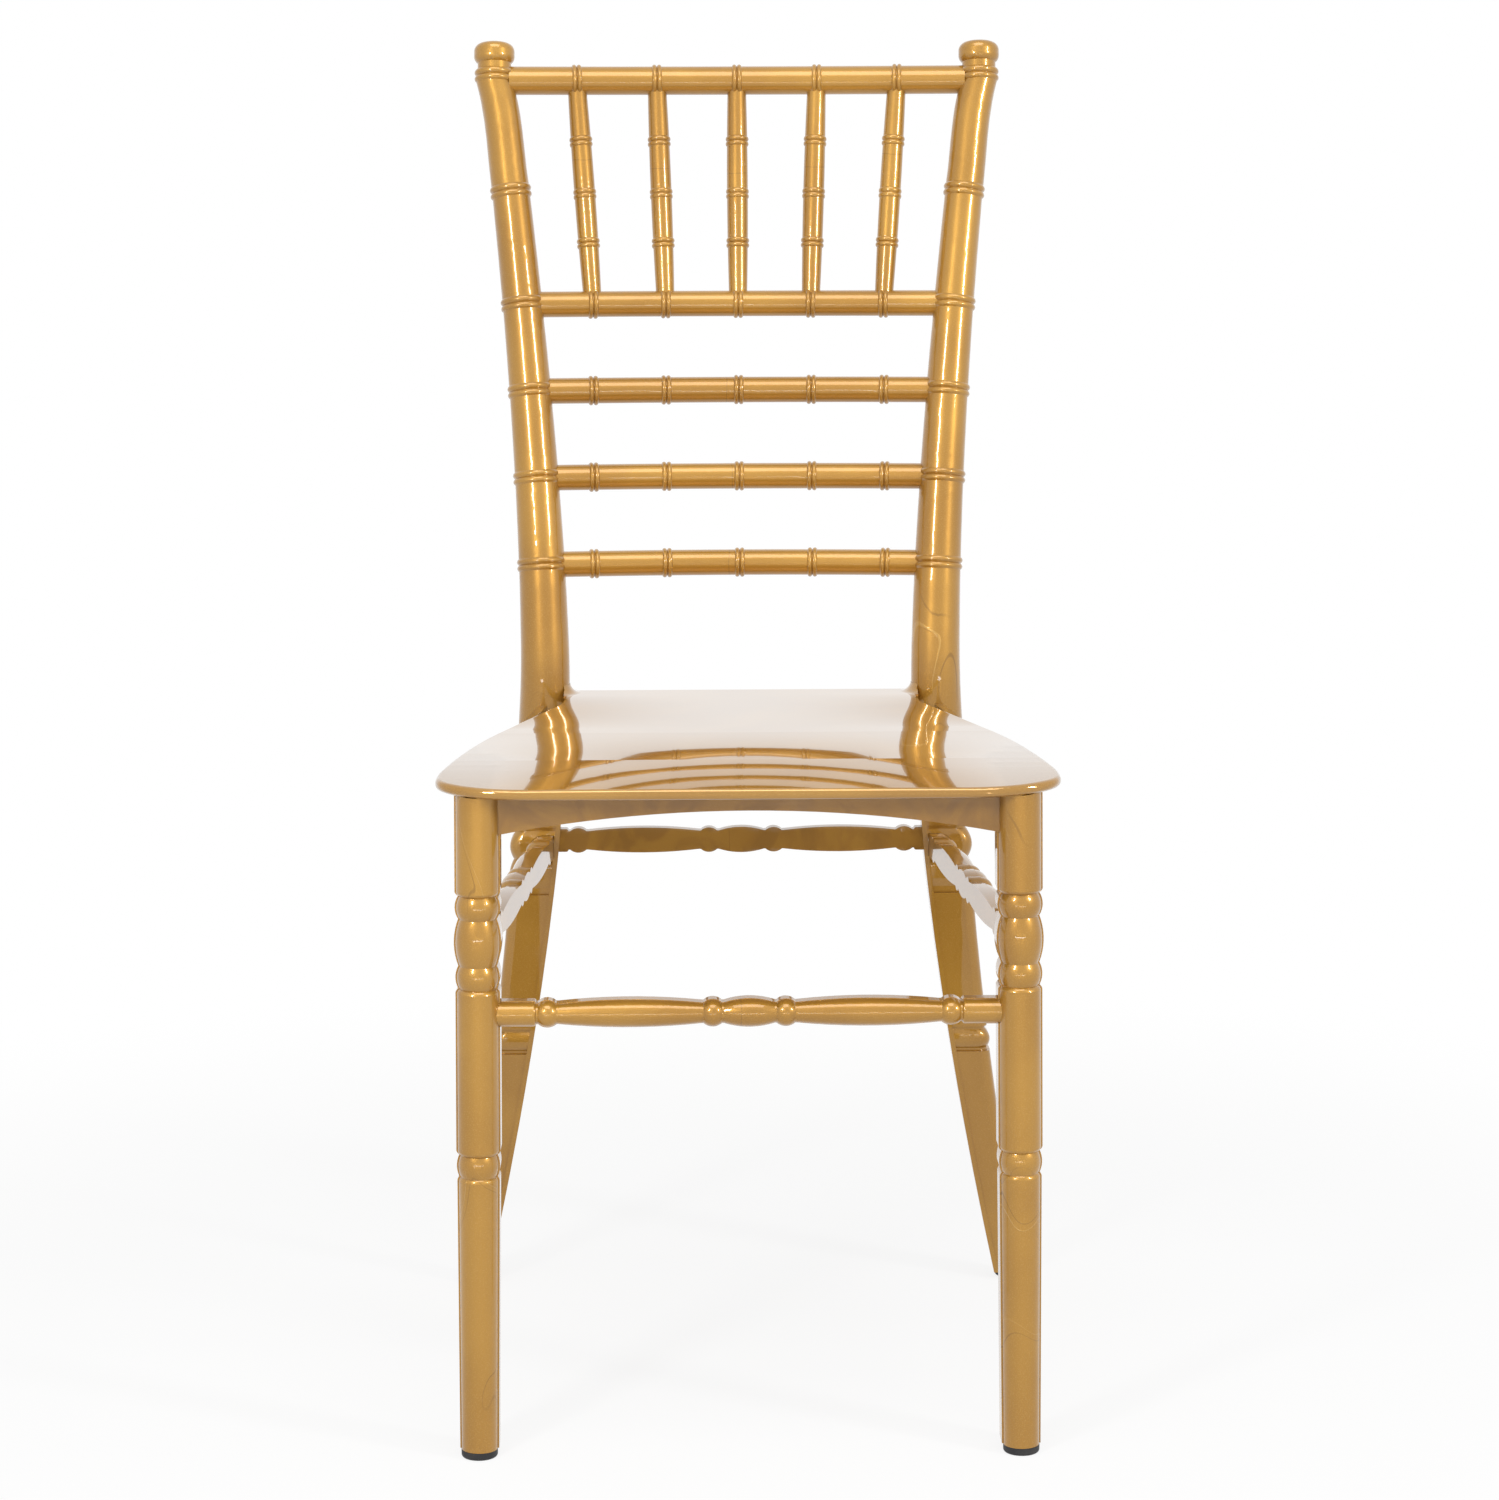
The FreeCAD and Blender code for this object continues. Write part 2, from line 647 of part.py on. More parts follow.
def rear_post():
    body = doc.addObject("PartDesign::Body", "rear_post_body")
    stretches = rear_leg_segments()
    for stretch, following in zip(stretches, stretches[1:]):
        leg_segment(body, "leg_" + stretch[0], stretch[1], following[1], stretch[2])
    top = post_point(FINIAL_HEIGHT)
    crown = top + TOP_AXIS * size("FinialHalfHeight")
    beads_at = crown - TOP_AXIS * size("FinialBeadDrop")
    round_post(body, stretches[-1][1], (beads_at, TOP_AXIS, size("PostTopRadius")))
    neck_bar = part("Cylinder", "finial_neck", turn_to(beads_at, TOP_AXIS),
                    Radius="Dims.FinialNeckRadius",
                    Height="Dims.FinialBeadDrop - Dims.FinialHalfHeight")
    return fuse("rear_post_whole", [body, neck_bar, finial_drum(top)])


# Front legs

def front_leg_steps():
    neck = size("FrontLegNeckRadius")
    low, low_width = size("LowBeadHeight"), size("LowBeadWidth")
    turned_width = size("TurnedBeadWidth")
    bead_low, barrel, bead_high = (size("StretcherBeadHeight"), size("BarrelHeight"),
                                   size("UpperBeadHeight"))
    low_start, low_end = low - low_width / 2, low + low_width / 2
    first = bead_low - turned_width / 2
    second = bead_low + turned_width / 2
    third = bead_high - turned_width / 2
    fourth = bead_high + turned_width / 2
    foot, below = size("FrontLegFootRadius"), size("FrontLegLowRadius")
    mid, top = size("FrontLegMidRadius"), size("FrontLegTopRadius")
    small = size("TurningGap")

    def shoulder(radius, start, end):
        # quarter round between a shaft and a groove
        return (neck + radius) / 2 + 0.2 * (radius - neck), (start + end) / 2

    steps = [(foot, size("CapHeight") + GAP), (below, low_start - small)]
    steps.append((neck, low_start, *shoulder(below, low_start - small, low_start)))
    steps.append((neck, low_end, below + 0.3, low))
    steps.append((mid, low_end + small, *shoulder(mid, low_end, low_end + small)))
    steps.append((mid, first - small))
    steps.append((neck, first, *shoulder(mid, first - small, first)))
    steps.append((neck, second, mid, bead_low))
    steps.append((neck, third, size("FrontLegBarrelRadius"), barrel))
    steps.append((neck, fourth, top, bead_high))
    steps.append((top, fourth + small, *shoulder(top, fourth, fourth + small)))
    steps.append((top, DECK))
    return steps


def front_leg():
    body = turned_body("front_leg_body", front_leg_steps(), "FrontLegWall", "FrontLegStep")
    low, high = front_leg_point(0), front_leg_point(SEAT_TOP)
    body.Placement = frame_at(low, high - low, V(0, 1, 0))
    return body


# Stretchers: turned on one side, flat on the other

def stretcher_steps(half, collar, depth_low, depth_high):
    # symmetrical pattern: collar, bead, vase, bead, barrel and back again
    neck, barrel = size("StretcherNeckRadius"), size("StretcherBarrelHalf")
    width, space = size("StretcherBeadWidth"), 1.2
    inner_start = barrel + space
    inner_end = inner_start + width
    outer_end = half - collar - space
    outer_start = outer_end - width
    vase_start, vase_end = inner_end + space, outer_start - space
    vase_middle = (vase_start + vase_end) / 2
    rim = size("StretcherCollarRadius")
    ring, vase = size("StretcherBeadRadius"), size("StretcherVaseRadius")
    right = [
        (neck, inner_start),
        (neck, inner_end, ring, (inner_start + inner_end) / 2),
        (neck, vase_start),
        (neck, vase_end, vase, vase_middle),
        (neck, outer_start),
        (neck, outer_end, ring, (outer_start + outer_end) / 2),
        (neck, half - collar),
        (rim, half - collar + 1.6, neck + 0.75 * (rim - neck), half - collar + 0.6),
        (rim, half + depth_high),
    ]
    left = [(rim, -half - depth_low), (rim, -(half - collar + 1.6))]
    left.append((neck, -(half - collar), neck + 0.75 * (rim - neck), -(half - collar + 0.6)))
    left.append((neck, -outer_end))
    left.append((neck, -outer_start, ring, -(outer_start + outer_end) / 2))
    left.append((neck, -vase_end))
    left.append((neck, -vase_start, vase, -vase_middle))
    left.append((neck, -inner_end))
    left.append((neck, -inner_start, ring, -(inner_start + inner_end) / 2))
    left.append((neck, -barrel))
    left.append((neck, barrel, size("StretcherBarrelRadius"), 0.0))
    return left + right


def stretcher(name, start, end, flat_side, collar, depth):
    # start and end are on the faces of the members that carry it
    half = (end - start).Length / 2
    steps = stretcher_steps(half, size(collar), depth, depth)
    body = turned_body(name, steps, "StretcherWall", "StretcherStep")
    body.Placement = frame_at((start + end) / 2, end - start, flat_side)
    return body


def stretcher_socket(name, start, end, flat_side, depth):
    # clearance space for both ends of a stretcher in the members that carry it
    half = (end - start).Length / 2
    place = frame_at((start + end) / 2, end - start, flat_side)
    reach = 2 * (half + depth + GAP)
    shift = FreeCAD.Placement(V(0, 0, -reach / 2), FreeCAD.Rotation())
    bar = part("Cylinder", name + "_bar", place.multiply(shift),
               Radius="Dims.StretcherCollarRadius + Dims.JointClearance")
    bar.Height = reach
    side = size("StretcherCollarRadius") + size("StretcherStep") + GAP
    corner = FreeCAD.Placement(V(-side, -GAP, -reach / 2), FreeCAD.Rotation())
    wall = part("Box", name + "_wall", place.multiply(corner))
    wall.Length = 2 * side
    wall.Width = size("StretcherWall") + 2 * GAP
    wall.Height = reach
    return fuse(name, [bar, wall])


def front_stretcher_ends():
    height = size("FrontStretcherHeight")
    point = front_leg_point(height)
    reach = point.x - size("FrontLegMidRadius") - size("FrontLegStep")
    y = point.y + size("FrontStretcherOffset")
    return V(-reach, y, height), V(reach, y, height), V(0, 1, 0)


def rear_stretcher_ends():
    height = size("RearStretcherHeight")
    point = post_point(height)
    width, depth = rear_leg_size(height)
    reach = point.x - width / 2
    y = point.y - depth / 2 + size("StretcherWall")
    return V(-reach, y, height), V(reach, y, height), V(0, -1, 0)


def side_stretcher_ends():
    # right side: its flat inner face lines up with the inner faces of the two legs
    height = size("SideStretcherHeight")
    leg, post = front_leg_point(height), post_point(height)
    width, depth = rear_leg_size(height)
    wall = size("StretcherWall")
    front_x = leg.x - size("FrontLegTopRadius") + 2 + wall
    rear_x = post.x - width / 2 + size("RearRimWidth") + GAP + wall
    start = V(front_x, leg.y + size("FrontLegWall"), height)
    end = V(rear_x, post.y - depth / 2, height)
    along = end - start
    return start, end, V(-along.y, along.x, 0)


REAR_TENON = 0.5 * size("RearRimWidth")

# Aprons under the seat

HALF_APRON = size("ApronThickness") / 2


def apron_plate(name, start, end, low, high):
    # straight upright plate between two points in plan
    along = V(end.x - start.x, end.y - start.y, 0)
    place = frame_at(V(start.x, start.y, low), V(0, 0, 1), V(along.y, -along.x, 0))
    side = FreeCAD.Placement(V(0, -HALF_APRON, 0), FreeCAD.Rotation())
    plate = part("Box", name, place.multiply(side), Width="Dims.ApronThickness")
    plate.Length = along.Length
    plate.Height = high - low
    if (place.Rotation.multVec(V(1, 0, 0)) - V(along).normalize()).Length > 1e-6:
        back = FreeCAD.Placement(V(-along.Length, -HALF_APRON, 0), FreeCAD.Rotation())
        plate.Placement = place.multiply(back)
    return plate


def front_apron_plate():
    # plate with an arched lower edge between the front legs
    body = doc.addObject("PartDesign::Body", "front_apron_body")
    half = front_leg_point(SEAT_TOP).x - size("FrontLegTopRadius") + size("SocketDepth") / 2
    low, middle = SEAT_TOP - size("ApronDropEnd"), SEAT_TOP - size("ApronDropMiddle")
    high = DECK
    sketch = new_sketch(body, "front_apron_outline", "XZ_Plane", V(0, 0, 0))
    sketch.addGeometry(Part.Arc(V(-half, low, 0), V(0, middle, 0), V(half, low, 0)), False)
    for start, end in (((half, low), (half, high)), ((half, high), (-half, high)),
                       ((-half, high), (-half, low))):
        sketch.addGeometry(Part.LineSegment(V(*start, 0), V(*end, 0)), False)
    pad = body.newObject("PartDesign::Pad", "front_apron_plate")
    pad.Profile = sketch
    pad.Midplane = True
    bind(pad, "Length", "Dims.ApronThickness")
    body.Placement = FreeCAD.Placement(V(0, front_leg_point(0).y, 0), FreeCAD.Rotation())
    return body, half, low, high


def front_apron_slot(half, low, high):
    side = GAP + HALF_APRON
    slot = part("Box", "front_apron_slot")
    slot.Length = half + GAP
    slot.Width = 2 * side
    slot.Height = high - low + GAP
    slot.Placement = FreeCAD.Placement(V(0, front_leg_point(0).y - side, low - GAP),
                                       FreeCAD.Rotation())
    return slot


# Seat shell: a curved sheet cut to the seat's outline, open round the posts

def seat_outline(sketch):
    # straight front, elliptical corners, a swell, a straight taper and a hollow curve that
    # ends running backwards at the posts
    half, rear = size("SeatWidth") / 2, size("SeatRearWidth") / 2
    back = FRONT + size("SeatDepth")
    corner_x, corner_y = size("SeatCornerX"), size("SeatCornerY")
    swell, hollow = size("SeatSwellRadius"), size("SeatWaistRadius")
    widest_y, waist_y = FRONT + corner_y, FRONT + size("SeatWaistSetback")
    across, along = rear + hollow - half + swell, waist_y - widest_y
    turn = math.asin((swell + hollow) / math.hypot(across, along)) - math.atan2(across, along)
    for side in (1, -1):
        corner = Part.Ellipse(V(side * (half - corner_x), widest_y, 0), corner_x, corner_y)
        start = math.pi * (1.5 if side > 0 else 1.0)
        sketch.addGeometry(Part.ArcOfEllipse(corner, start, start + math.pi / 2), False)

        def on_swell(angle):
            inward = swell * (1 - math.cos(angle))
            return V(side * (half - inward), widest_y + swell * math.sin(angle), 0)

        def on_hollow(angle):
            outward = hollow * (1 - math.cos(angle))
            return V(side * (rear + outward), waist_y - hollow * math.sin(angle), 0)

        sketch.addGeometry(Part.Arc(on_swell(0), on_swell(turn / 2), on_swell(turn)), False)
        sketch.addGeometry(Part.LineSegment(on_swell(turn), on_hollow(turn)), False)
        sketch.addGeometry(Part.Arc(on_hollow(turn), on_hollow(turn / 2), on_hollow(0)), False)
        sketch.addGeometry(Part.LineSegment(on_hollow(0), V(side * rear, back, 0)), False)
    reach = half - corner_x
    sketch.addGeometry(Part.LineSegment(V(-reach, FRONT, 0), V(reach, FRONT, 0)), False)
    sketch.addGeometry(Part.LineSegment(V(-rear, back, 0), V(rear, back, 0)), False)


POST_HOLE_POINT = post_point(DECK - size("SeatThickness") / 2)
POST_HOLE_RADIUS = post_radius(DECK - size("SeatThickness")) + 3 * GAP


def seat_collar(name, side, outline):
    # concave fillet that leads the seat's surface up to a post
    place = V(side * POST_HOLE_POINT.x, POST_HOLE_POINT.y, DECK)
    inner, bury = POST_HOLE_RADIUS - GAP, size("SeatThickness") / 2
    reach, rise = size("CollarReach"), size("CollarRise")
    soft = 1 - math.sqrt(0.5)
    steps = [(inner + reach, -bury), (inner + reach, 0.0),
             (inner, rise, inner + reach * soft, rise * soft)]
    body = turned_body(name + "_turned", steps)
    body.Placement = FreeCAD.Placement(place, FreeCAD.Rotation())
    collar = doc.addObject("Part::Common", name)
    collar.Refine = False
    collar.Base = body
    collar.Tool = outline
    return collar


def is_rim(edge):
    # an edge of the sheet's outline; not an upright corner, nor a line across the seat
    tiny = 1e-3
    start, end = edge.valueAt(edge.FirstParameter), edge.valueAt(edge.LastParameter)
    if math.hypot(end.x - start.x, end.y - start.y) < tiny:
        return False
    inside = FRONT + tiny < start.y < FRONT + size("SeatDepth") - tiny
    return not (inside and abs(start.y - end.y) < tiny)


def seat_shell():
    body = doc.addObject("PartDesign::Body", "seat_outline_body")
    sketch = new_sketch(body, "seat_outline", "XY_Plane", V(0, 0, SEAT_TOP - HEADROOM))
    seat_outline(sketch)
    pad = body.newObject("PartDesign::Pad", "seat_block")
    pad.Profile = sketch
    pad.Length = 2 * HEADROOM
    sheet_of_seat = doc.addObject("Part::Common", "seat_sheet")
    sheet_of_seat.Refine = False
    sheet_of_seat.Base = body
    sheet_of_seat.Tool = seat_layer("seat_layer", -size("SeatThickness"), 0.0)
    doc.recompute()
    rounded = doc.addObject("Part::Fillet", "seat_rolled")
    rounded.Base = sheet_of_seat
    edge_round = size("SeatEdgeRound")
    rounded.Edges = [(k, edge_round, edge_round)
                     for k, edge in enumerate(sheet_of_seat.Shape.Edges, start=1) if is_rim(edge)]
    holes = []
    for side, label in ((1, "right"), (-1, "left")):
        hole = part("Cylinder", "post_hole_" + label)
        hole.Radius = POST_HOLE_RADIUS
        hole.Height = 2 * HEADROOM
        centre = V(side * POST_HOLE_POINT.x, POST_HOLE_POINT.y, SEAT_TOP - HEADROOM)
        hole.Placement = FreeCAD.Placement(centre, FreeCAD.Rotation())
        holes.append(hole)
    collars = [seat_collar("collar_right", 1, body), seat_collar("collar_left", -1, body)]
    return cut("seat_shell", fuse("seat_with_collars", [rounded] + collars), holes)


# Foot caps: a rubber disc under each leg with a plug in the leg's end

def cap_body(name, radius_alias, point):
    radius, height, plug = size(radius_alias), size("CapHeight"), size("PlugRadius")
    turn = size("CapRound")
    soft = turn * (1 - math.sqrt(0.5))
    steps = [(radius - turn, 0.0), (radius, turn, radius - soft, soft), (radius, height),
             (plug, height), (plug, height + size("PlugLength"))]
    body = turned_body(name, steps)
    body.Placement = FreeCAD.Placement(V(point.x, point.y, 0), FreeCAD.Rotation())
    return body


def plug_hole(name, point):
    hole = part("Cylinder", name, FreeCAD.Placement(point, FreeCAD.Rotation()),
                Radius="Dims.PlugRadius + Dims.JointClearance",
                Height="Dims.CapHeight + Dims.PlugLength + Dims.JointClearance")
    return hole


NODES = []


def keep(name, item):
    item.Label = name
    NODES.append(item)
    return item


def build():
    # rails and spindles
    posts_cut = []
    top_whole = beaded_rail("top_rail", TOP_RAIL, "TopRailRadius", "TopBeadSpacing")
    top_holes = [spindle_socket(n, True) for n in STEPS_ACROSS]
    keep("top_rail", cut("top_rail_cut", top_whole, top_holes))
    posts_cut.append(rail_sockets(TOP_RAIL, "Dims.TopRailRadius", "top_rail_socket"))
    for name, height in zip(RAIL_NAMES, LADDER):
        whole = beaded_rail(name, height, "RailRadius", "RailBeadSpacing")
        if name == "spindle_rail":
            low_holes = [spindle_socket(n, False) for n in STEPS_ACROSS]
            whole = cut("spindle_rail_cut", whole, low_holes)
        keep(name, whole)
        posts_cut.append(rail_sockets(height, "Dims.RailRadius", name + "_socket"))
    for n in STEPS_ACROSS:
        keep("back_spindle_%d" % (n + 3), spindle(n))

    # stretchers
    legs_cut = []
    start, end, flat = front_stretcher_ends()
    depth = size("SocketDepth")
    keep("front_stretcher", stretcher("front_stretcher", start, end, flat, "FrontCollarLength", depth))
    legs_cut.append(stretcher_socket("front_stretcher_socket", start, end, flat, depth))
    start, end, flat = rear_stretcher_ends()
    keep("rear_stretcher", stretcher("rear_stretcher", start, end, flat, "RearCollarLength", REAR_TENON))
    posts_cut.append(stretcher_socket("rear_stretcher_socket", start, end, flat, REAR_TENON))
    start, end, flat = side_stretcher_ends()
    side = stretcher("side_stretcher_body", start, end, flat, "SideCollarLength", depth)
    side_space = stretcher_socket("side_stretcher_socket", start, end, flat, depth)
    keep("right_side_stretcher", side)
    keep("left_side_stretcher", mirror("left_side_stretcher", side))
    legs_cut.append(side_space)
    posts_cut.append(side_space)

    # aprons
    plate, half, low, high = front_apron_plate()
    keep("front_apron", under_seat("front_apron", plate))
    legs_cut.append(front_apron_slot(half, low, high))
    leg, post = front_leg_point(SEAT_TOP), post_point(SEAT_TOP)
    width, thick = rear_leg_size(SEAT_TOP)
    low = SEAT_TOP - size("SideApronDrop")
    start = V(leg.x, leg.y + size("FrontLegWall") + GAP, 0)
    end = V(post.x, post.y - thick / 2 - GAP, 0)
    plate = apron_plate("side_apron_plate", start, end, low, DECK)
    side_apron = under_seat("right_side_apron", plate)
    keep("right_side_apron", side_apron)
    keep("left_side_apron", mirror("left_side_apron", side_apron))
    reach = post.x - width / 2 - 2 * GAP
    plate = apron_plate("rear_apron_plate", V(-reach, post.y, 0), V(reach, post.y, 0),
                        SEAT_TOP - size("RearApronDrop"), DECK)
    keep("rear_apron", under_seat("rear_apron", plate))
    keep("seat_shell", seat_shell())

    # posts, legs and their foot caps
    foot = V(post_point(0).x, post_point(0).y, 0)
    posts_cut.append(plug_hole("rear_plug_hole", foot))
    post = cut("rear_post", rear_post(), posts_cut)
    keep("right_rear_post", post)
    keep("left_rear_post", mirror("left_rear_post", post))
    toe = front_leg_point(0)
    legs_cut.append(plug_hole("front_plug_hole", toe))
    leg = under_seat("front_leg", cut("front_leg_pocketed", front_leg(), legs_cut))
    keep("right_front_leg", leg)
    keep("left_front_leg", mirror("left_front_leg", leg))
    for name, alias, point in (("front", "FrontCapRadius", toe), ("rear", "RearCapRadius", foot)):
        cap = cap_body(name + "_cap_body", alias, point)
        keep("right_%s_foot_cap" % name, cap)
        keep("left_%s_foot_cap" % name, mirror("left_%s_foot_cap" % name, cap))


def check():
    for item in doc.Objects:
        if "Invalid" in item.State or "Error" in item.State:
            raise RuntimeError("%s failed: %s" % (item.Name, item.State))
    for item in NODES:
        shape = item.Shape
        if shape.isNull() or not shape.isValid():
            raise RuntimeError("%s has no valid shape" % item.Label)
        if len(shape.Solids) != 1:
            raise RuntimeError("%s is %d solids" % (item.Label, len(shape.Solids)))


def export():
    os.makedirs("parts", exist_ok=True)
    for item in NODES:
        item.Shape.exportStep("parts/%s.step" % item.Label)


build()
doc.recompute()
check()
export()

whole_box = FreeCAD.BoundBox()
for node in NODES:
    whole_box.add(node.Shape.BoundBox)
print("nodes", len(NODES))
print("box %.2f %.2f %.2f to %.2f %.2f %.2f" % (
    whole_box.XMin, whole_box.YMin, whole_box.ZMin,
    whole_box.XMax, whole_box.YMax, whole_box.ZMax))
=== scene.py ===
import math

import bpy
from mathutils import Matrix, Vector


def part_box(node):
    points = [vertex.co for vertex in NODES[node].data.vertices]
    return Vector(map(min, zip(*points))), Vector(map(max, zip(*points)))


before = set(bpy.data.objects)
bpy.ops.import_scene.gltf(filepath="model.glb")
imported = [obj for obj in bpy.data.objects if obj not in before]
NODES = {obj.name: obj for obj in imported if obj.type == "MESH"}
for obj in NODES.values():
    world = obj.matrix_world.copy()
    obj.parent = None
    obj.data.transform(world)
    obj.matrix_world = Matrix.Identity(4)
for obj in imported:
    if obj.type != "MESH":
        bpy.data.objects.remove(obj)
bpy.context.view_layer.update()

# Gold chiavari chair in glossy moulded resin. Metres, floor at Z = 0, the chair faces -Y.

SEAT_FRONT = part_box("seat_shell")[0][1]
SIDES = ("left", "right")


# Shader graphs

SOCKETS = {
    "base_color": "Base Color", "metallic": "Metallic", "roughness": "Roughness", "ior": "IOR",
    "specular": "Specular IOR Level", "normal": "Normal", "coat_weight": "Coat Weight",
    "coat_roughness": "Coat Roughness", "coat_ior": "Coat IOR", "coat_normal": "Coat Normal",
}


class Graph:
    """The node tree of a material or a world, with short calls for the nodes used here."""

    def __init__(self, owner, output):
        owner.use_nodes = True
        self.tree = owner.node_tree
        self.tree.nodes.clear()
        self.output = self.node(output)

    def node(self, kind, **values):
        item = self.tree.nodes.new("ShaderNode" + kind)
        for key, value in values.items():
            setattr(item, key, value)
        return item

    def link(self, source, target):
        """Feed a socket from a number, a colour of three numbers or another socket."""
        if isinstance(source, (int, float)):
            target.default_value = source
        elif isinstance(source, tuple):
            target.default_value = (*source, 1.0)
        else:
            self.tree.links.new(source, target)

    def surface(self, shader_node):
        self.link(shader_node.outputs[0], self.output.inputs["Surface"])

    def calc(self, operation, first, second=0.0):
        item = self.node("Math", operation=operation)
        self.link(first, item.inputs[0])
        self.link(second, item.inputs[1])
        return item.outputs[0]

    def times(self, first, second):
        return self.calc("MULTIPLY", first, second)

    def ramp(self, value, low, high, out_low=0.0, out_high=1.0):
        item = self.node("MapRange", interpolation_type="SMOOTHSTEP")
        self.link(value, item.inputs["Value"])
        item.inputs["From Min"].default_value = low
        item.inputs["From Max"].default_value = high
        item.inputs["To Min"].default_value = out_low
        item.inputs["To Max"].default_value = out_high
        return item.outputs["Result"]

    def line(self, value, centre, half_width):
        """1 on a thin line where value is near centre, 0 away from it."""
        away = self.calc("ABSOLUTE", self.calc("SUBTRACT", value, centre))
        return self.ramp(away, half_width * 0.3, half_width, 1.0, 0.0)

    def mix(self, share, first, second):
        item = self.node("Mix", data_type="RGBA")
        self.link(share, item.inputs[0])
        self.link(first, item.inputs[6])
        self.link(second, item.inputs[7])
        return item.outputs[2]

    def direct_rays(self):
        """1 where the eye sees the surface straight, mirrored or through glass, 0 for its light."""
        rays = self.node("LightPath").outputs
        direct = self.calc("MAXIMUM", rays["Is Camera Ray"], rays["Is Glossy Ray"])
        return self.calc("MAXIMUM", direct, rays["Is Transmission Ray"])


class Shader(Graph):
    """A new material, patterned by the place on the object."""

    def __init__(self, name):
        self.material = bpy.data.materials.new(name)
        super().__init__(self.material, "OutputMaterial")
        self.place = self.node("TexCoord").outputs["Object"]

    def axis(self, name):
        split = self.node("SeparateXYZ")
        self.link(self.place, split.inputs[0])
        return split.outputs[name]

    def scaled(self, x, y, z):
        item = self.node("Mapping")
        item.inputs["Scale"].default_value = (x, y, z)
        self.link(self.place, item.inputs["Vector"])
        return item.outputs[0]

    def noise(self, scale, detail=2.0, distortion=0.0, vector=None):
        item = self.node("TexNoise")
        item.inputs["Scale"].default_value = scale
        item.inputs["Detail"].default_value = detail
        item.inputs["Distortion"].default_value = distortion
        self.link(vector or self.place, item.inputs["Vector"])
        return item.outputs["Fac"]

    def bump(self, height, distance, strength=1.0, normal=None):
        item = self.node("Bump")
        item.inputs["Strength"].default_value = strength
        item.inputs["Distance"].default_value = distance
        self.link(height, item.inputs["Height"])
        if normal is not None:
            self.link(normal, item.inputs["Normal"])
        return item.outputs[0]

    def principled(self, **values):
        item = self.node("BsdfPrincipled")
        for name, value in values.items():
            self.link(value, item.inputs[SOCKETS[name]])
        self.surface(item)


# Materials. Lengths are in metres.

GOLD = (0.44, 0.228, 0.034)
GOLD_DEEP = (0.37, 0.182, 0.025)
GOLD_PALE = (0.58, 0.355, 0.10)
# Painted shade: a darker brown for the aprons and rear stretcher, which sit in shade under the seat
GOLD_PAINTED_SHADE = (0.215, 0.105, 0.024)
KNIT = (0.20, 0.10, 0.02)
RUBBER = (0.012, 0.012, 0.013)
RUBBER_DUST = (0.045, 0.043, 0.04)

RESIN_IOR = 1.5
KNIT_HALF_WIDTH = 0.0004
KNIT_WANDER = 0.0022
FLOW_HALF_WIDTH = 0.003
FLOW_FADE = 0.015

# The seat's crown: how far its sides sink, over which half width and which depth from its front,
# and between which depths it fades out again
CROWN = 0.0153
CROWN_HALF_WIDTH = 0.165
CROWN_DEPTH = 0.15
CROWN_FADE = (0.17, 0.34)


def flow_lines(shader, bands):
    """Thin wandering lines where the resin flowed together, in bands of height (low, high)."""
    flow = shader.noise(13.0, 1.0, 0.9, shader.scaled(1.0, 1.0, 0.55))
    height = shader.axis("Z")
    where = 0.0
    for low, high in bands:
        above = shader.ramp(height, low - FLOW_FADE, low + FLOW_FADE)
        below = shader.ramp(height, high - FLOW_FADE, high + FLOW_FADE, 1.0, 0.0)
        where = shader.calc("MAXIMUM", where, shader.times(above, below))
    patchy = shader.ramp(shader.noise(14.0, 1.0), 0.44, 0.56)
    where = shader.times(where, patchy)
    pale = shader.times(shader.line(flow, 0.50, FLOW_HALF_WIDTH), where)
    dark = shader.times(shader.line(flow, 0.53, FLOW_HALF_WIDTH), where)
    return pale, dark


def seat_crown(shader):
    """Height of the seat's slight crown: it sinks to both sides over the front fall."""
    behind = shader.calc("SUBTRACT", shader.axis("Y"), SEAT_FRONT)
    share = shader.calc("MAXIMUM", shader.calc("DIVIDE", behind, CROWN_DEPTH), 0.0)
    near = shader.calc("SUBTRACT", 1.0, shader.calc("MINIMUM", share, 1.0))
    rise = shader.calc("SUBTRACT", 1.0, shader.times(near, near))
    rise = shader.times(rise, shader.ramp(behind, *CROWN_FADE, 1.0, 0.0))
    across = shader.calc("DIVIDE", shader.axis("X"), CROWN_HALF_WIDTH)
    sunk = shader.times(shader.times(across, across), -CROWN)
    return shader.times(sunk, rise)


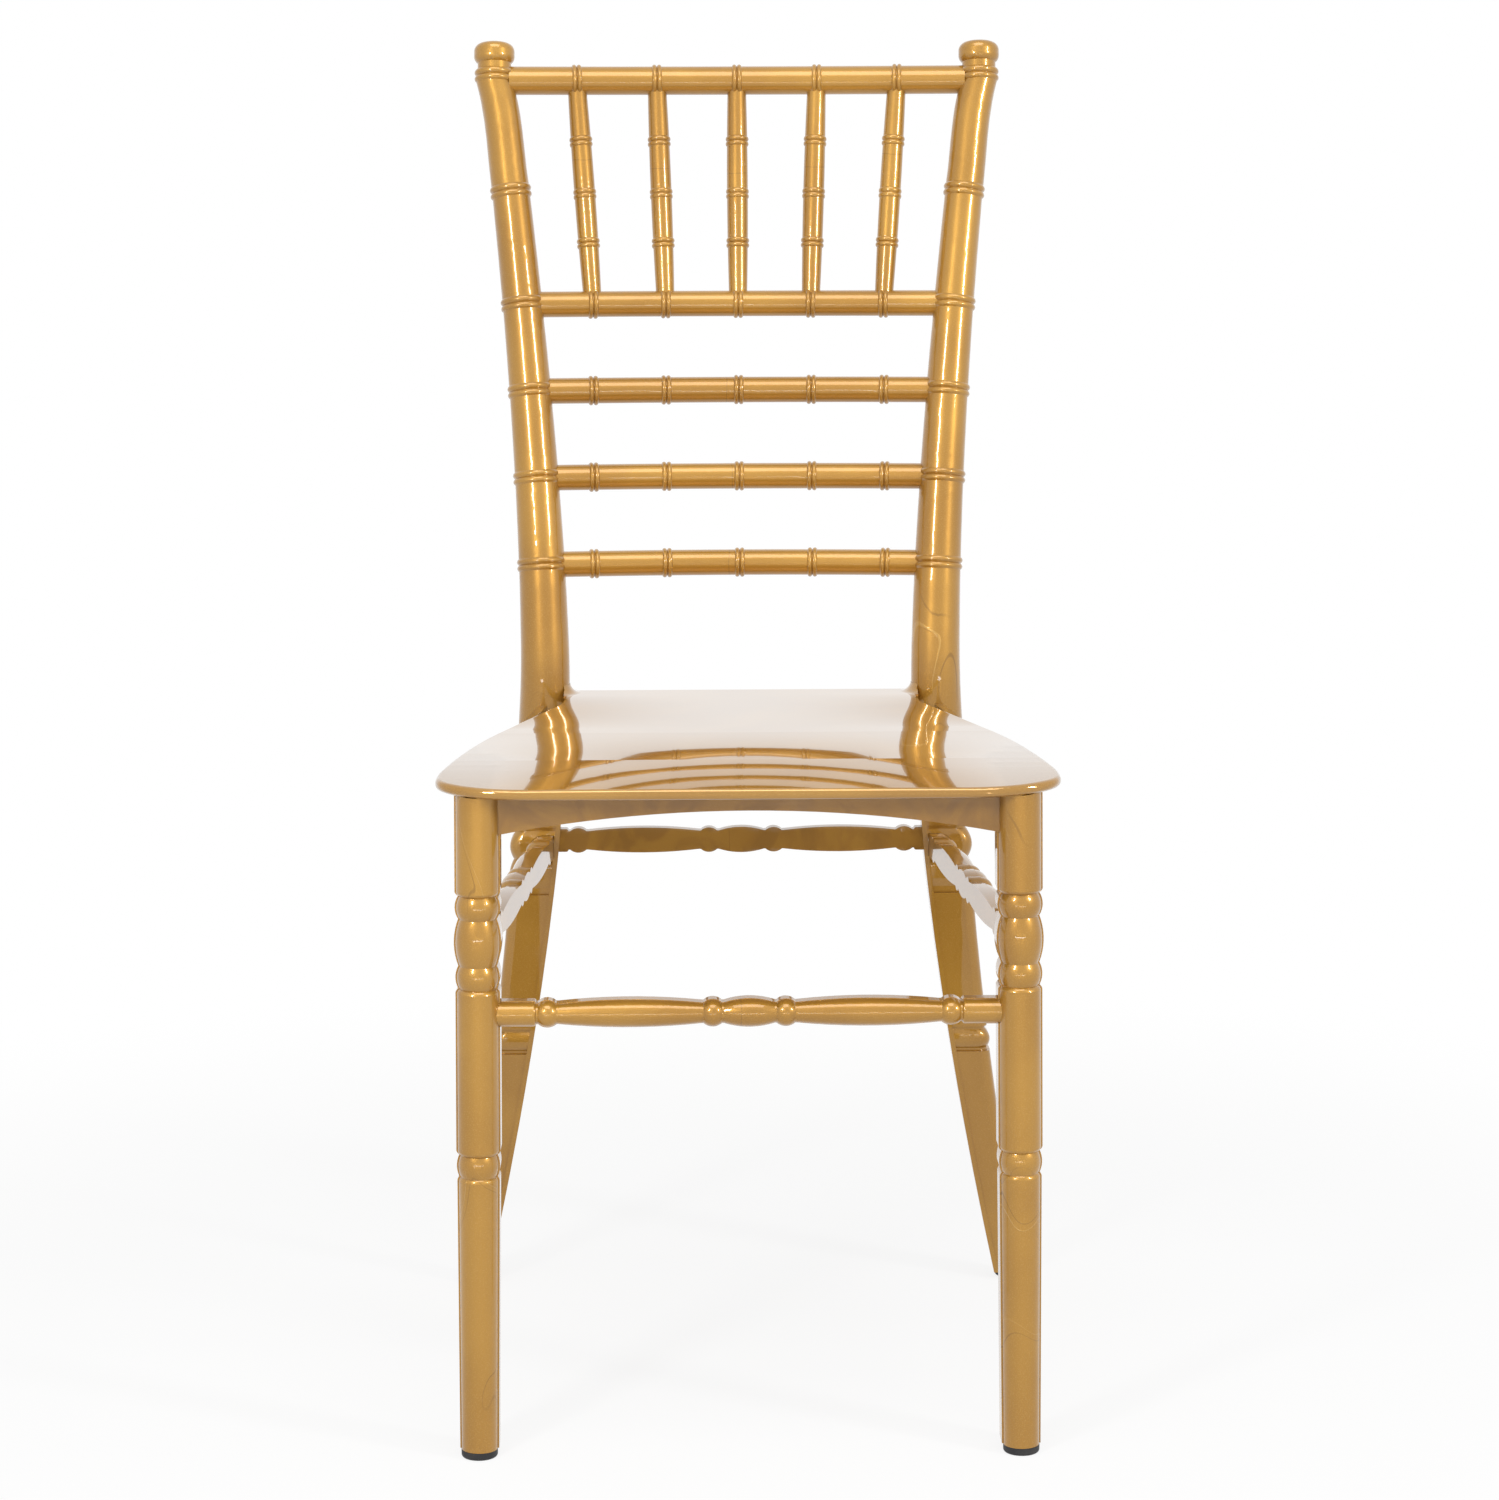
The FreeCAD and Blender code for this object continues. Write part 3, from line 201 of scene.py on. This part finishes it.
def gold_resin(name, knits=(), flows=(), metal=0.45, base_rough=0.36, gloss=0.02, painted_shade=0.0,
               specular=0.1, crowned=False):
    """Pearlescent gold resin under a clear glossy skin.

    A knit line is (axis, place), a band of flow lines is (low, high). painted_shade is the share of
    painted shade, a mottled darker brown for parts shaded by the seat; gloss is the skin's roughness.
    """
    shader = Shader(name)
    cloud = shader.ramp(shader.noise(9.0, 3.0, 0.6), 0.35, 0.68)
    colour = shader.mix(cloud, GOLD_DEEP, GOLD)
    pearl = shader.ramp(shader.noise(1400.0), 0.45, 0.80)
    colour = shader.mix(shader.times(pearl, 0.30), colour, GOLD_PALE)
    # Painted shade: a mottled darkening towards brown for parts that lie in shade under the seat
    if painted_shade:
        mottled_shade = shader.ramp(shader.noise(22.0, 4.0, 2.2), 0.38, 0.62, 0.65 * painted_shade, painted_shade)
        colour = shader.mix(mottled_shade, colour, GOLD_PAINTED_SHADE)
    skin = shader.bump(shader.noise(14.0, 1.0), 0.0005, 0.08)
    skin = shader.bump(shader.noise(300.0, 1.0), 0.00002, 0.08, skin)
    if flows:
        pale, dark = flow_lines(shader, flows)
        colour = shader.mix(shader.times(pale, 0.50), colour, GOLD_PALE)
        colour = shader.mix(shader.times(dark, 0.55), colour, KNIT)
        skin = shader.bump(pale, 0.0003, 0.5, skin)
    if crowned:
        skin = shader.bump(seat_crown(shader), 1.0, 1.0, skin)
    for axis, place in knits:
        wander = shader.times(shader.calc("SUBTRACT", shader.noise(60.0), 0.5), KNIT_WANDER)
        along = shader.calc("ADD", shader.axis(axis), wander)
        seam = shader.line(along, place, KNIT_HALF_WIDTH)
        colour = shader.mix(shader.times(seam, 0.55), colour, KNIT)
    scuffs = shader.ramp(shader.noise(38.0, 5.0, 0.8), 0.60, 0.78, gloss, gloss + 0.06)
    shader.principled(base_color=colour, metallic=metal, roughness=base_rough, ior=RESIN_IOR,
                      specular=specular, coat_weight=1.0, coat_roughness=scuffs,
                      coat_ior=RESIN_IOR, normal=skin, coat_normal=skin)
    return shader.material


def rubber(name):
    """Black matt rubber with a little dust on it."""
    shader = Shader(name)
    grain = shader.noise(700.0, 3.0)
    dust = shader.ramp(shader.noise(45.0, 4.0), 0.5, 0.8)
    shader.principled(base_color=shader.mix(dust, RUBBER, RUBBER_DUST),
                      roughness=shader.ramp(grain, 0.2, 0.8, 0.45, 0.65),
                      ior=RESIN_IOR, normal=shader.bump(grain, 0.0001, 0.5))
    return shader.material


def dress(names, material):
    for name in names:
        mesh = NODES[name].data
        mesh.materials.clear()
        mesh.materials.append(material)


# The knit lines stand near the middle of each rail and stretcher, and at these heights on the
# spindles from left to right
RAIL_KNITS = {"lower_back_rail": -0.0077, "middle_back_rail": -0.0050, "upper_back_rail": -0.0087,
              "front_stretcher": -0.0054, "rear_stretcher": -0.0087}
SPINDLE_KNITS = (0.8423, 0.8359, 0.8323, 0.8366, 0.8459)
POST_FLOWS = ((0.46, 0.53), (0.02, 0.10))
LEG_FLOWS = ((0.37, 0.44), (0.15, 0.19), (0.04, 0.09))
# Share of painted shade, a mottled darker brown, on the rear stretcher in the shade under the seat
REAR_STRETCHER_PAINTED_SHADE = 0.8

dress(["top_rail", "spindle_rail"], gold_resin("gold_rail"))
for node, place in RAIL_KNITS.items():
    painted_shade = REAR_STRETCHER_PAINTED_SHADE if node == "rear_stretcher" else 0.0
    dress([node], gold_resin("gold_" + node, knits=[("X", place)], painted_shade=painted_shade))
for number, place in enumerate(SPINDLE_KNITS, start=1):
    dress(["back_spindle_%d" % number], gold_resin("gold_spindle_%d" % number, knits=[("Z", place)]))
dress([side + "_side_stretcher" for side in SIDES], gold_resin("gold_side_stretcher"))
dress([side + "_rear_post" for side in SIDES], gold_resin("gold_post", flows=POST_FLOWS))
dress([side + "_front_leg" for side in SIDES], gold_resin("gold_leg", flows=LEG_FLOWS))
# The aprons get painted shade, a mottled darker brown, for the shade under the seat's edge
dress(["front_apron", "rear_apron", "left_side_apron", "right_side_apron"],
      gold_resin("gold_apron", metal=0.20, gloss=0.10, painted_shade=0.9))
dress(["seat_shell"], gold_resin("gold_seat", base_rough=0.07, specular=0.5, gloss=0.01, crowned=True))
dress(["%s_%s_foot_cap" % (side, end) for side in SIDES for end in ("front", "rear")],
      rubber("black_rubber"))


# Floor and white surroundings

FLOOR_SIZE = 16.0
FLOOR_GREY = 0.80
SHADE_SHOWN = 0.86  # how much of the floor's white is plain light near the chair
SHADE_REACH = (0.45, 1.30)  # from here to here the floor turns into the white ground
SKY_LIGHT = 0.45


def white_floor():
    bpy.ops.mesh.primitive_plane_add(size=FLOOR_SIZE, location=(0.0, 0.0, 0.0))
    floor = bpy.context.object
    floor.name = "floor"
    shader = Shader("floor_white")
    diffuse = shader.node("BsdfDiffuse")
    shader.link((FLOOR_GREY, FLOOR_GREY, FLOOR_GREY), diffuse.inputs["Color"])
    glow = shader.node("Emission")
    glow.inputs["Strength"].default_value = 1.0
    away = shader.node("VectorMath", operation="LENGTH")
    shader.link(shader.place, away.inputs[0])
    white = shader.ramp(away.outputs["Value"], *SHADE_REACH, SHADE_SHOWN, 1.0)
    blend = shader.node("MixShader")
    shader.link(shader.times(shader.direct_rays(), white), blend.inputs[0])
    shader.link(diffuse.outputs[0], blend.inputs[1])
    shader.link(glow.outputs[0], blend.inputs[2])
    shader.surface(blend)
    floor.data.materials.append(shader.material)


def white_world():
    world = bpy.data.worlds.new("white_world")
    bpy.context.scene.world = world
    graph = Graph(world, "OutputWorld")
    sky = graph.node("Background")
    graph.link((1.0, 1.0, 1.0), sky.inputs["Color"])
    graph.link(graph.ramp(graph.direct_rays(), 0.0, 1.0, SKY_LIGHT, 1.0), sky.inputs["Strength"])
    graph.surface(sky)


def softbox(name, place, target, width, height, watts):
    lamp = bpy.data.lights.new(name, "AREA")
    lamp.shape = "RECTANGLE"
    lamp.size = width
    lamp.size_y = height
    lamp.energy = watts
    item = bpy.data.objects.new(name, lamp)
    bpy.context.collection.objects.link(item)
    item.location = place
    item.rotation_euler = (Vector(target) - Vector(place)).to_track_quat("-Z", "Y").to_euler()


white_floor()
white_world()
softbox("top_softbox", (0.0, -0.9, 2.5), (0.0, 0.0, 0.5), width=1.60, height=1.20, watts=22.0)
softbox("left_softbox", (-0.80, -1.35, 1.20), (0.0, 0.0, 0.7), width=0.20, height=0.45, watts=11.0)
softbox("right_softbox", (1.85, -1.35, 1.48), (0.0, 0.0, 0.7), width=0.30, height=0.60, watts=24.0)
softbox("low_strip", (0.0, -1.75, 0.28), (0.0, 0.0, 0.6), width=1.60, height=0.05, watts=2.5)


# Camera, fitted to the photograph: its width and focal length in pixels, its angles in radians

WIDTH_PX = 1499
FOCAL_PX = 3690.86
EYE = Vector((-0.03851, SEAT_FRONT - 2.30508, 0.81450))
YAW, PITCH, ROLL = 0.01683, 0.14851, -0.00335
SENSOR_WIDTH = 36.0


def add_camera():
    forward = Vector((math.sin(YAW) * math.cos(PITCH),
                      math.cos(YAW) * math.cos(PITCH),
                      -math.sin(PITCH)))
    level = Vector((math.cos(YAW), -math.sin(YAW), 0.0))
    upright = level.cross(forward)
    right = level * math.cos(ROLL) + upright * math.sin(ROLL)
    above = right.cross(forward)
    lens = bpy.data.cameras.new("camera")
    lens.sensor_fit = "HORIZONTAL"
    lens.sensor_width = SENSOR_WIDTH
    lens.lens = FOCAL_PX / WIDTH_PX * SENSOR_WIDTH
    camera = bpy.data.objects.new("camera", lens)
    bpy.context.collection.objects.link(camera)
    axes = Matrix((right, above, -forward)).transposed().to_4x4()
    camera.matrix_world = Matrix.Translation(EYE) @ axes
    bpy.context.scene.camera = camera


add_camera()
bpy.context.scene.view_settings.view_transform = "Standard"
